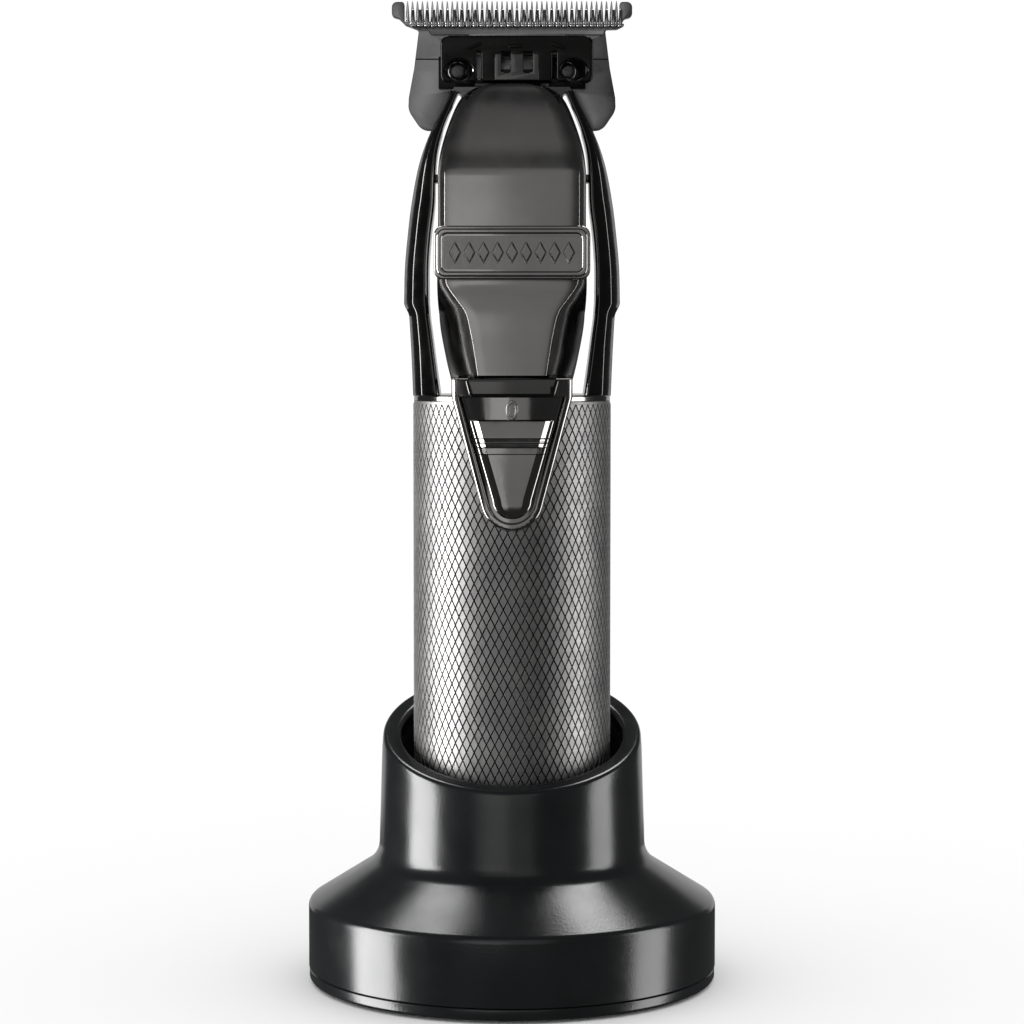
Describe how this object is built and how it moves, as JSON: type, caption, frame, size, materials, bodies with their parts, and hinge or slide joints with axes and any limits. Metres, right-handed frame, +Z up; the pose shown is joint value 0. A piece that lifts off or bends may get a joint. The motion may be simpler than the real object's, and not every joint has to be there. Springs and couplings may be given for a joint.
{
  "type": "hair clipper",
  "caption": "Cordless T-blade hair trimmer with a knurled round grip and an open skeleton head, standing in a round charging stand.",
  "frame": {"origin": "centre of the charging stand's underside, on the surface it stands on", "axes": "+Z up along the trimmer towards its blade, -Y the front with the lid, nameplate and switch, +X to the right of that front"},
  "size_m": [0.0684, 0.0684, 0.1637],
  "materials": {
    "stand_plastic": "gloss black",
    "cup_plastic": "matt black",
    "base_plastic": "gloss black",
    "foot_rubber": "matt",
    "ballast_steel": "plain",
    "board_green": "solder mask",
    "inlet_plastic": "moulded",
    "screw_steel": "zinc plated",
    "contact_gold": "gold plated",
    "spring_steel": "bright wire",
    "grip_metal": "knurled, satin gunmetal",
    "cap_plastic": "satin black",
    "seal_rubber": "matt",
    "carrier_plastic": "moulded",
    "cell_wrap": "shrink sleeve",
    "switch_metal": "tinned",
    "bezel_metal": "polished gunmetal",
    "slider_metal": "satin gunmetal",
    "frame_metal": "polished black gunmetal",
    "lid_metal": "satin gunmetal",
    "plate_metal": "polished gunmetal",
    "motor_steel": "plain",
    "bush_brass": "turned",
    "blade_steel": "ground",
    "bracket_plastic": "moulded",
    "mount_metal": "black",
    "yoke_plastic": "gloss black",
    "cutter_steel": "ground and polished"
  },
  "bodies": {
    "stand": {"stand_shell": "stand_plastic", "charging_cup": "cup_plastic", "base_plate": "base_plastic", "foot_ring": "foot_rubber", "ballast_ring": "ballast_steel", "stand_board": "board_green", "power_inlet": "inlet_plastic", "base_screws": "screw_steel", "left_pin_spring": "spring_steel", "right_pin_spring": "spring_steel"},
    "left_pin": {"left_pin": "contact_gold"},
    "right_pin": {"right_pin": "contact_gold"},
    "trimmer": {"grip_sleeve": "grip_metal", "end_cap": "cap_plastic", "cap_seal": "seal_rubber", "charge_contacts": "contact_gold", "cell_carrier": "carrier_plastic", "battery_cell": "cell_wrap", "control_board": "board_green", "slide_switch": "switch_metal", "switch_bezel": "bezel_metal", "head_frame": "frame_metal", "front_lid": "lid_metal", "nameplate": "plate_metal", "rear_cover": "lid_metal", "cover_screws": "screw_steel", "motor_cradle": "carrier_plastic", "motor_can": "motor_steel", "motor_bush": "bush_brass", "fixed_blade": "blade_steel", "blade_bracket": "bracket_plastic", "blade_mount": "mount_metal", "blade_screws": "screw_steel", "mount_screws": "screw_steel", "tension_spring": "spring_steel"},
    "slider": {"thumb_slider": "slider_metal"},
    "rotor": {"motor_shaft": "motor_steel", "eccentric": "bush_brass"},
    "cutter_slide": {"drive_yoke": "yoke_plastic", "cutter": "cutter_steel"}
  },
  "joints": [
    {"name": "lift_out", "type": "slide", "parent": "stand", "child": "trimmer", "axis": [0, 0, 1], "range_m": [0, 0.06]},
    {"name": "left_pin_press", "type": "slide", "parent": "stand", "child": "left_pin", "axis": [0, 0, -1], "range_m": [0, 0.0009], "stiffness_N_per_m": 300, "springref_m": -0.0005, "deforming": ["left_pin_spring"]},
    {"name": "right_pin_press", "type": "slide", "parent": "stand", "child": "right_pin", "axis": [0, 0, -1], "range_m": [0, 0.0009], "stiffness_N_per_m": 300, "springref_m": -0.0005, "deforming": ["right_pin_spring"]},
    {"name": "switch_slide", "type": "slide", "parent": "trimmer", "child": "slider", "axis": [0, 0, 1], "range_m": [0, 0.0034]},
    {"name": "motor_spin", "type": "hinge", "parent": "trimmer", "child": "rotor", "pos_m": [0, 0, 0.12], "axis": [0, 0, 1], "continuous": true},
    {"name": "cutter_stroke", "type": "slide", "parent": "trimmer", "child": "cutter_slide", "axis": [1, 0, 0], "range_m": [-0.0016, 0]}
  ]
}
